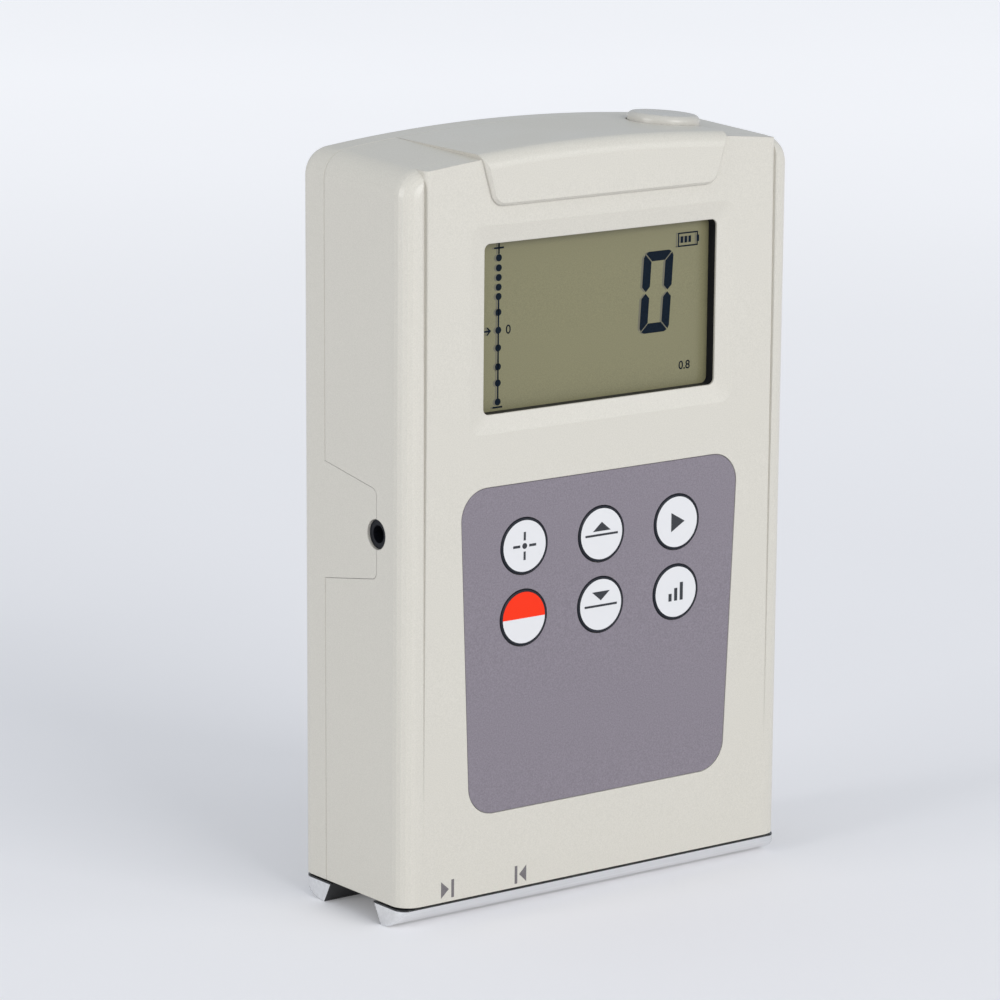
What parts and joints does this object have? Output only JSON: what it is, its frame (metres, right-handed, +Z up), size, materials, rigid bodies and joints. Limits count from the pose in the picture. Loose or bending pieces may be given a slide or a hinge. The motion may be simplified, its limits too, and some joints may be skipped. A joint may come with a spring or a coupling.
{
  "type": "surface roughness tester",
  "caption": "Upright pocket surface roughness tester: cream housing with a dished display, a key panel, a top button and a side socket, on bright guide rails with a traversing stylus below.",
  "frame": {"origin": "middle of the footprint, on the plane under the guide rails", "axes": "+X to the right seen from the front, +Y from front to back, +Z up along the housing"},
  "size_m": [0.073, 0.0284, 0.118],
  "materials": {
    "case": "fine matte moulded texture",
    "bright_alloy": "polished",
    "key_panel": "finely grained printed film",
    "key_white": "satin white with a printed dark ring",
    "key_power": "satin, upper half red and lower half white",
    "black_plastic": "satin black",
    "display": "olive grey liquid crystal display",
    "contact_rubber": "striped contact rubber",
    "circuit_board": "green solder resist",
    "battery_wrap": "plain shrink wrap",
    "steel": "machined",
    "bracket_alloy": "machined",
    "brass": "turned",
    "diamond": "polished cone"
  },
  "bodies": {
    "housing": {"front_case": "case", "rear_cover": "case", "guide_base": "bright_alloy", "keypad_overlay": "key_panel", "top_switch": "black_plastic", "lcd_frame": "black_plastic", "charging_socket": "black_plastic", "end_sensors": "black_plastic", "lcd_panel": "display", "contact_strips": "contact_rubber", "main_board": "circuit_board", "battery_pack": "battery_wrap", "key_domes": "steel", "drive_bracket": "bracket_alloy", "gearbox": "brass", "drive_motor": "steel", "screw_bush": "brass", "guide_rods": "steel", "cover_screws": "steel", "base_screws": "steel", "board_screws": "steel", "bracket_screws": "steel"},
    "carriage": {"carriage": "black_plastic", "drive_nut": "brass", "pickup_tube": "steel", "pickup_skid": "bright_alloy", "stylus_pivot": "steel"},
    "stylus": {"stylus_arm": "steel", "stylus_tip": "diamond"},
    "lead_screw": {"lead_screw": "steel"},
    "top_button": {"top_button": "case"},
    "key_cal": {"key_cal": "key_white"},
    "key_up": {"key_up": "key_white"},
    "key_start": {"key_start": "key_white"},
    "key_power": {"key_power": "key_power"},
    "key_down": {"key_down": "key_white"},
    "key_cutoff": {"key_cutoff": "key_white"}
  },
  "joints": [
    {"name": "traverse", "type": "slide", "parent": "housing", "child": "carriage", "axis": [1, 0, 0], "range_m": [0, 0.0119]},
    {"name": "lead_screw_turn", "type": "hinge", "parent": "housing", "child": "lead_screw", "pos_m": [0, 0.00077, 0.0166], "axis": [1, 0, 0], "continuous": true},
    {"name": "stylus_lift", "type": "hinge", "parent": "carriage", "child": "stylus", "pos_m": [-0.01445, 0.00077, 0.0103], "axis": [0, 1, 0], "range_deg": [0, 2], "stiffness_Nm_per_rad": 0.002},
    {"name": "top_button_press", "type": "slide", "parent": "housing", "child": "top_button", "axis": [-0.0757, 0.0175, -0.997], "range_m": [0, 0.0008], "stiffness_N_per_m": 2500},
    {"name": "key_cal_press", "type": "slide", "parent": "housing", "child": "key_cal", "axis": [0, 1, 0.0074], "range_m": [0, 0.0004], "stiffness_N_per_m": 3000},
    {"name": "key_up_press", "type": "slide", "parent": "housing", "child": "key_up", "axis": [0, 1, 0.0074], "range_m": [0, 0.0004], "stiffness_N_per_m": 3000},
    {"name": "key_start_press", "type": "slide", "parent": "housing", "child": "key_start", "axis": [0, 1, 0.0074], "range_m": [0, 0.0004], "stiffness_N_per_m": 3000},
    {"name": "key_power_press", "type": "slide", "parent": "housing", "child": "key_power", "axis": [0, 1, 0.0074], "range_m": [0, 0.0004], "stiffness_N_per_m": 3000},
    {"name": "key_down_press", "type": "slide", "parent": "housing", "child": "key_down", "axis": [0, 1, 0.0074], "range_m": [0, 0.0004], "stiffness_N_per_m": 3000},
    {"name": "key_cutoff_press", "type": "slide", "parent": "housing", "child": "key_cutoff", "axis": [0, 1, 0.0074], "range_m": [0, 0.0004], "stiffness_N_per_m": 3000}
  ],
  "couplings": [
    {"joint": "lead_screw_turn", "follows": "traverse", "rad_per_m": 6283.2}
  ]
}
